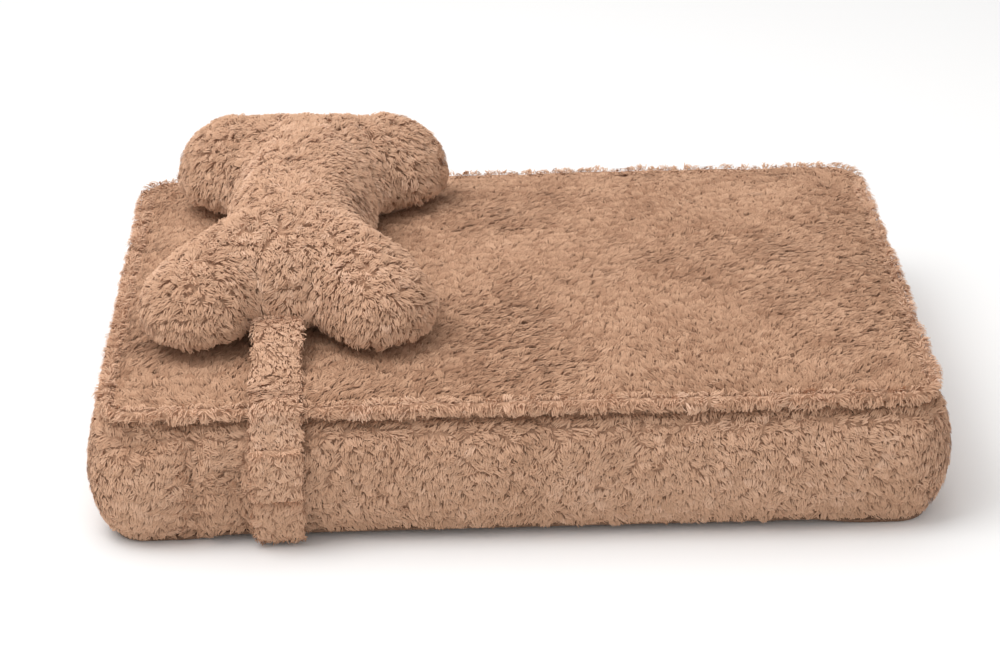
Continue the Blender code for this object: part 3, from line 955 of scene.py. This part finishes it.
# %% Scatter roots over a mesh
def scatter(mesh, per_square_mm, keep, chance):
    points, normals = points_of(mesh), normals_of(mesh)
    mesh.calc_loop_triangles()
    corners = np.empty(len(mesh.loop_triangles) * 3, np.int32)
    mesh.loop_triangles.foreach_get("vertices", corners)
    corners = corners.reshape(-1, 3)
    a, b, c = (points[corners[:, k]] for k in range(3))
    share = np.linalg.norm(np.cross(b - a, c - a), axis=1) / 2
    share = share * keep((a + b + c) / 3, normals[corners[:, 0]])
    count = int(share.sum() * per_square_mm * 1e6)
    face = chance.choice(len(share), count, p=share / share.sum())
    u, v = chance.random((2, count, 1))
    over = u + v > 1
    u, v = np.where(over, 1 - u, u), np.where(over, 1 - v, v)
    chosen = corners[face]
    mix = [1 - u - v, u, v]
    roots = sum(m * points[chosen[:, k]] for k, m in enumerate(mix))
    ways = unit(sum(m * normals[chosen[:, k]] for k, m in enumerate(mix)))
    return roots, ways


# %% Grow a pile
MOST_RIBBONS = 62000  # in one piece, so that its mesh stays light


def nearest_tuft(roots, centres, stretch):
    tree = KDTree(len(centres))
    for k, centre in enumerate((centres * stretch).tolist()):
        tree.insert(centre, k)
    tree.balance()
    return np.array([tree.find(root)[1] for root in (roots * stretch).tolist()])


def ribbon_mesh(name, root, middle, tip, across, width, shade):
    """Flat ribbons: one point at each root, two halfway along and two at the tip."""
    count = len(root)
    side = across * width[:, None]
    points = np.stack(
        (root, middle + side * 0.5, middle - side * 0.5, tip - side * 0.32, tip + side * 0.32),
        axis=1,
    )
    mesh = bpy.data.meshes.new(name)
    mesh.vertices.add(count * 5)
    mesh.vertices.foreach_set("co", points.astype(np.float32).ravel())
    order = np.array([[0, 2, 1, 1, 2, 3, 4]])
    mesh.loops.add(count * 7)
    corners = np.arange(count)[:, None] * 5 + order
    mesh.loops.foreach_set("vertex_index", corners.astype(np.int32).ravel())
    mesh.polygons.add(count * 2)
    starts = np.arange(count)[:, None] * 7 + np.array([[0, 3]])
    mesh.polygons.foreach_set("loop_start", starts.astype(np.int32).ravel())
    places = mesh.uv_layers.new(name="OFBake")
    u = shade[:, None] + np.array([[0, -1, 1, 1, -1, -1, 1]]) * 0.004
    v = np.broadcast_to(np.array([[0.02, 0.5, 0.5, 0.5, 0.5, 0.98, 0.98]]), u.shape)
    places.data.foreach_set("uv", np.stack((u, v), axis=-1).astype(np.float32).ravel())
    mesh.update(calc_edges=True)
    mesh.polygons.foreach_set("use_smooth", np.ones(count * 2, bool))
    return mesh


def grow_pile(name, meshes, body, seed, lean, keep, per_square_mm=0.40, long=0.0095,
              width=0.0012, tuft=0.0090, stretch=(1.0, 1.4, 1.8), shorten_and_shade=None, rise=1.0,
              up_facing_shade=0.0):
    """lean(points, normals) is the way the pile lies. The optional function of the points shortens
    the pile and darkens it with painted shade. The last argument is how much darker the pile is
    painted where it
    faces up: painted shade that tones down the lit top."""
    chance = np.random.default_rng(seed)
    found = [scatter(mesh, per_square_mm, keep, chance) for mesh in meshes]
    roots = np.concatenate([roots for roots, _ in found])
    ways = np.concatenate([ways for _, ways in found])
    order = chance.permutation(len(roots))
    roots, ways = roots[order], ways[order]
    spread = math.sqrt(1 / per_square_mm) / 1000
    centres = roots[: max(8, int(len(roots) * (spread / tuft) ** 2 * 1.6))]
    own = nearest_tuft(roots, centres, np.array(stretch))
    lying = unit(lean(centres, ways[: len(centres)]))
    lying = lying + chance.normal(0, 0.38, lying.shape)
    low = shorten_and_shade(roots) if shorten_and_shade else np.zeros(len(roots))
    flow = lying[own] + chance.normal(0, 0.15, roots.shape)
    flow = unit(flow - ways * np.sum(flow * ways, axis=1, keepdims=True))
    height = 0.80 + 0.40 * chance.random(len(centres))
    length = long * (0.85 + 0.3 * chance.random(len(roots))) * (1 - 0.55 * low) * height[own]
    length = length[:, None]
    across = unit(np.cross(ways, flow))
    bow = across * length * chance.normal(0, 0.07, (len(roots), 1))
    lift = rise * (0.9 + 0.2 * chance.random((len(roots), 1)))
    middle = roots + length * 0.5 * (ways * 0.90 * lift + flow * 0.50) + bow
    tip = roots + length * (ways * 0.56 * lift + flow * 0.74)
    gather = centres[own] + length * (ways * 0.60 * rise + flow * 0.70)
    pull = 0.12 + 0.30 * chance.random((len(roots), 1))
    tip = tip + (gather - tip) * pull
    middle = middle + (gather - middle) * pull * 0.15
    twist = unit(across + ways * chance.normal(0, 0.15, (len(roots), 1)))
    shade = (
        0.52
        + 0.12 * noise(roots, 0.055, seed + 1)
        + 0.09 * chance.normal(0, 1, len(centres))[own]
        + 0.045 * chance.normal(0, 1, len(roots))
        # The last two terms are painted shade: darker in creases and under the seam roll, and
        # darker where the pile faces up.
        - 0.42 * low
        - up_facing_shade * eased((ways[:, 2] - 0.6) / 0.35)
    )
    shade = np.clip(shade, 0.01, 0.99)
    for points in (middle, tip):
        points[:, 2] = np.maximum(points[:, 2], 0.0012)
    wide = width * (0.8 + 0.4 * chance.random(len(roots)))
    parts = max(1, math.ceil(len(roots) / MOST_RIBBONS))
    for k, part in enumerate(np.array_split(np.arange(len(roots)), parts), 1):
        label = f"{name}_{k}" if parts > 1 else name
        lines = (a[part] for a in (roots, middle, tip, twist, wide, shade))
        add_piece(label, ribbon_mesh(label, *lines), plush_pile, body)
    print(name, "ribbons:", len(roots), "in", parts, "tufts:", len(centres))


# %% [markdown]
# ## Which way the pile lies
# On top the pile lies away from the front and sways a little to either side. On the walls it
# hangs down and sways. Near a crease it parts.

# %% Pile of the cushion
def turned(vectors, angle):
    """Vectors in plan, turned about the vertical."""
    c, s = np.cos(angle), np.sin(angle)
    x, y, z = vectors.T
    return np.column_stack((x * c - y * s, x * s + y * c, z))


def cushion_lean(points, normals):
    facing_up = eased((normals[:, 2] - 0.25) / 0.5)[:, None]
    sway = noise(points, 0.16, 51) * 1.0 + noise(points, 0.05, 55) * 0.5
    on_top = turned(np.tile([0.35, 0.9, 0.0], (len(points), 1)), sway)
    round_wall = unit(np.cross(normals, [0.0, 0.0, 1.0]) + 1e-6)
    swing = noise(points, 0.09, 53)[:, None] * 0.9
    on_wall = round_wall * swing + np.array([0, 0, -1.0])
    lying = on_top * facing_up + on_wall * (1 - facing_up)
    return lying + pressed(points)[1] * 3.0


def cushion_keep(points, normals):
    shown = (normals[:, 2] > -0.6) & (points[:, 2] > 0.003)
    in_slot = slot_depth(points) > 0.35
    return np.where(shown & ~in_slot, 1.0, 0.0)


def cushion_shorten_and_shade(points):
    # Painted shade, with shorter pile: the pile is darkened along the creases and just under the
    # seam roll, where shade falls.
    depth = pressed(points)[0] / 0.008
    return np.clip(0.85 * depth + 0.9 * under_lip(points), 0, 1)


def roll_lean(points, normals):
    out = normals * np.array([1.0, 1.0, 0.0])
    swing = noise(points, 0.07, 54)[:, None] * 0.7
    round_edge = np.cross(normals, [0.0, 0.0, 1.0])
    return out * 0.9 + np.array([0, 0, -0.75]) + round_edge * swing


def roll_keep(points, normals):
    return np.where(normals[:, 2] > -0.55, 1.0, 0.0)


# The cushion's pile is darkened with painted shade in its creases, under the roll and where it
# faces up.
grow_pile("cushion_pile", [cushion_cover.data], "cushion", 101, cushion_lean, cushion_keep,
          shorten_and_shade=cushion_shorten_and_shade, rise=0.8, up_facing_shade=0.30)
grow_pile("seam_pile", [seam_roll.data], "cushion", 111, roll_lean, roll_keep, long=0.0100,
          per_square_mm=0.38, rise=0.8)

# %% [markdown]
# ## Pile of the bone and of the strap
# The bone's pile lies back over its crown and down its slopes. The strap has the same
# plush, cut a little shorter, and none where the tape or the tab covers it.

# %% Pile of the bone
def bone_lean(points, normals):
    facing_up = eased((normals[:, 2] - 0.2) / 0.6)[:, None]
    sway = noise(points, 0.075, 61) * 0.9
    on_top = turned(np.tile([0.25, 0.8, 0.0], (len(points), 1)), sway)
    on_top = on_top + np.array([0.0, 0.0, -1.6])
    round_wall = unit(np.cross(normals, [0.0, 0.0, 1.0]) + 1e-6)
    swing = noise(points, 0.06, 62)[:, None] * 1.2
    on_wall = round_wall * swing + np.array([0, 0, -1.0])
    return on_top * facing_up + on_wall * (1 - facing_up)


def bone_keep(points, normals):
    return np.where(normals[:, 2] > -0.55, 1.0, 0.0)


grow_pile("bone_pile", [bone_cover.data], "bone_and_strap", 121, bone_lean, bone_keep,
          stretch=(1.0, 1.0, 1.3))


# %% Pile of the strap
def band_lean(points, normals):
    sway = noise(points, 0.05, 71)[:, None]
    return np.array([0.0, 0.0, -1.0]) + np.array([1.0, 0, 0]) * sway + np.array([0, -0.4, 0]) * (
        np.sign(-points[:, 1])[:, None]
    )


def outer_side(points, normals):
    """1 on the side of a band that faces out, and on its edges."""
    inside = points.copy()
    inside[:, 1] = np.clip(points[:, 1], 0.06 - half_wide, half_wide - 0.06)
    inside[:, 2] = np.minimum(points[:, 2], SEAM_Z - 0.04)
    facing = np.sum(normals * unit(points - inside), axis=1)
    return (facing > 0.1) | (np.abs(normals[:, 0]) > 0.6)


def front_band_keep(points, normals):
    covered = (points[:, 1] < -(half_wide - 0.05)) & (points[:, 2] < TAB_TOP + 0.001)
    return np.where(outer_side(points, normals) & ~covered, 1.0, 0.0)


def band_keep(points, normals):
    return np.where(outer_side(points, normals), 1.0, 0.0)


BAND_PILE = dict(per_square_mm=0.40, long=0.0080, tuft=0.008, width=0.0012, rise=0.7)
grow_pile("strap_pile", [strap_front.data], "bone_and_strap", 131, band_lean,
          front_band_keep, **BAND_PILE)
grow_pile("strap_back_pile", [strap_rear.data, strap_lower.data], "bone_and_strap", 141,
          band_lean, band_keep, **BAND_PILE)
grow_pile("tab_pile", [strap_tab.data], "tab", 151, band_lean, band_keep, **BAND_PILE)

# %% [markdown]
# ## Zip
# The zip's solids already have the right shape: tapes, coils, slider, pull and stops. They
# stay, and get a woven, a moulded and a brushed finish.

# %% Zip finishes
tape_finish = Finish("zip_tape_weave", Roughness=0.85)
weave_x, weave_y, weave_z = tape_finish.part(tape_finish.place())
weave = (weave_y + weave_z).wave(700) * 0.5 + (weave_y - weave_z).wave(700) * 0.5
tape_finish.paint(
    tape_finish.ramp(weave, [(0.1, (0.19, 0.115, 0.072)), (0.9, (0.36, 0.23, 0.15))]),
    height=weave,
    depth=0.0003,
)
coil_finish = Finish("zip_coil_nylon", Specular_IOR_Level=0.5)
mottle = coil_finish.noise(300, 2.0)
coil_finish.paint(
    coil_finish.ramp(mottle, [(0.3, (0.36, 0.235, 0.15)), (0.7, (0.47, 0.32, 0.21))]),
    roughness=mottle * 0.25 + 0.28,
    height=mottle,
    depth=0.0001,
)
metal_finish = Finish("zip_metal_brushed", Metallic=1.0)
grain = metal_finish.node("ShaderNodeMapping", sockets={0: metal_finish.place()})
grain.inputs["Scale"].default_value = (1, 0.08, 1)
brushed = metal_finish.noise(4000, 2.0, grain.outputs[0])
metal_finish.paint(
    metal_finish.ramp(brushed, [(0.3, (0.50, 0.45, 0.37)), (0.7, (0.66, 0.61, 0.52))]),
    roughness=brushed * 0.2 + 0.26,
    height=brushed,
    depth=0.00003,
)
for node, finish in (
    ("zip_tape_upper", tape_finish),
    ("zip_tape_lower", tape_finish),
    ("zip_coil_upper", coil_finish),
    ("zip_coil_lower", coil_finish),
    ("zip_slider", metal_finish),
    ("zip_pull", metal_finish),
    ("zip_stop_front", metal_finish),
    ("zip_stop_rear", metal_finish),
):
    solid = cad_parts[node]
    solid.data.materials.clear()
    solid.data.materials.append(finish.material)

# %% [markdown]
# ## Floor, world and lamps
# A plain pale floor and wide soft lamps, as in a small studio: one above and to the left of the
# front, one over the top, and an even pale sky that fills the shadows.

# %% Studio
floor_mesh = bpy.data.meshes.new("floor")
reach = 9.0
floor_mesh.from_pydata(
    [(-reach, -reach, 0), (reach, -reach, 0), (reach, reach, 0), (-reach, reach, 0)],
    [],
    [(0, 1, 2, 3)],
)
floor = bpy.data.objects.new("floor", floor_mesh)
floor_paint = Finish("pale_floor", Base_Color=(0.94, 0.94, 0.94, 1), Roughness=0.9)
floor_mesh.materials.append(floor_paint.material)
bpy.context.scene.collection.objects.link(floor)

world = bpy.data.worlds.new("studio")
bpy.context.scene.world = world
world.use_nodes = True
sky = world.node_tree.nodes["Background"]
sky.inputs["Color"].default_value = (1.0, 0.99, 0.98, 1)
sky.inputs["Strength"].default_value = 0.70
bpy.context.scene.view_settings.view_transform = "Standard"


def add_lamp(name, place, aim, size, watts):
    lamp = bpy.data.lights.new(name, "AREA")
    lamp.shape, lamp.size, lamp.energy = "SQUARE", size, watts
    made = bpy.data.objects.new(name, lamp)
    made.location = place
    made.rotation_euler = (Vector(aim) - Vector(place)).to_track_quat("-Z", "Y").to_euler()
    bpy.context.scene.collection.objects.link(made)


add_lamp("key_lamp", (-1.3, -0.7, 2.5), (0, 0, 0.1), 1.6, 31)
add_lamp("top_lamp", (-0.5, 0.3, 2.8), (0, 0, 0.1), 2.4, 28)
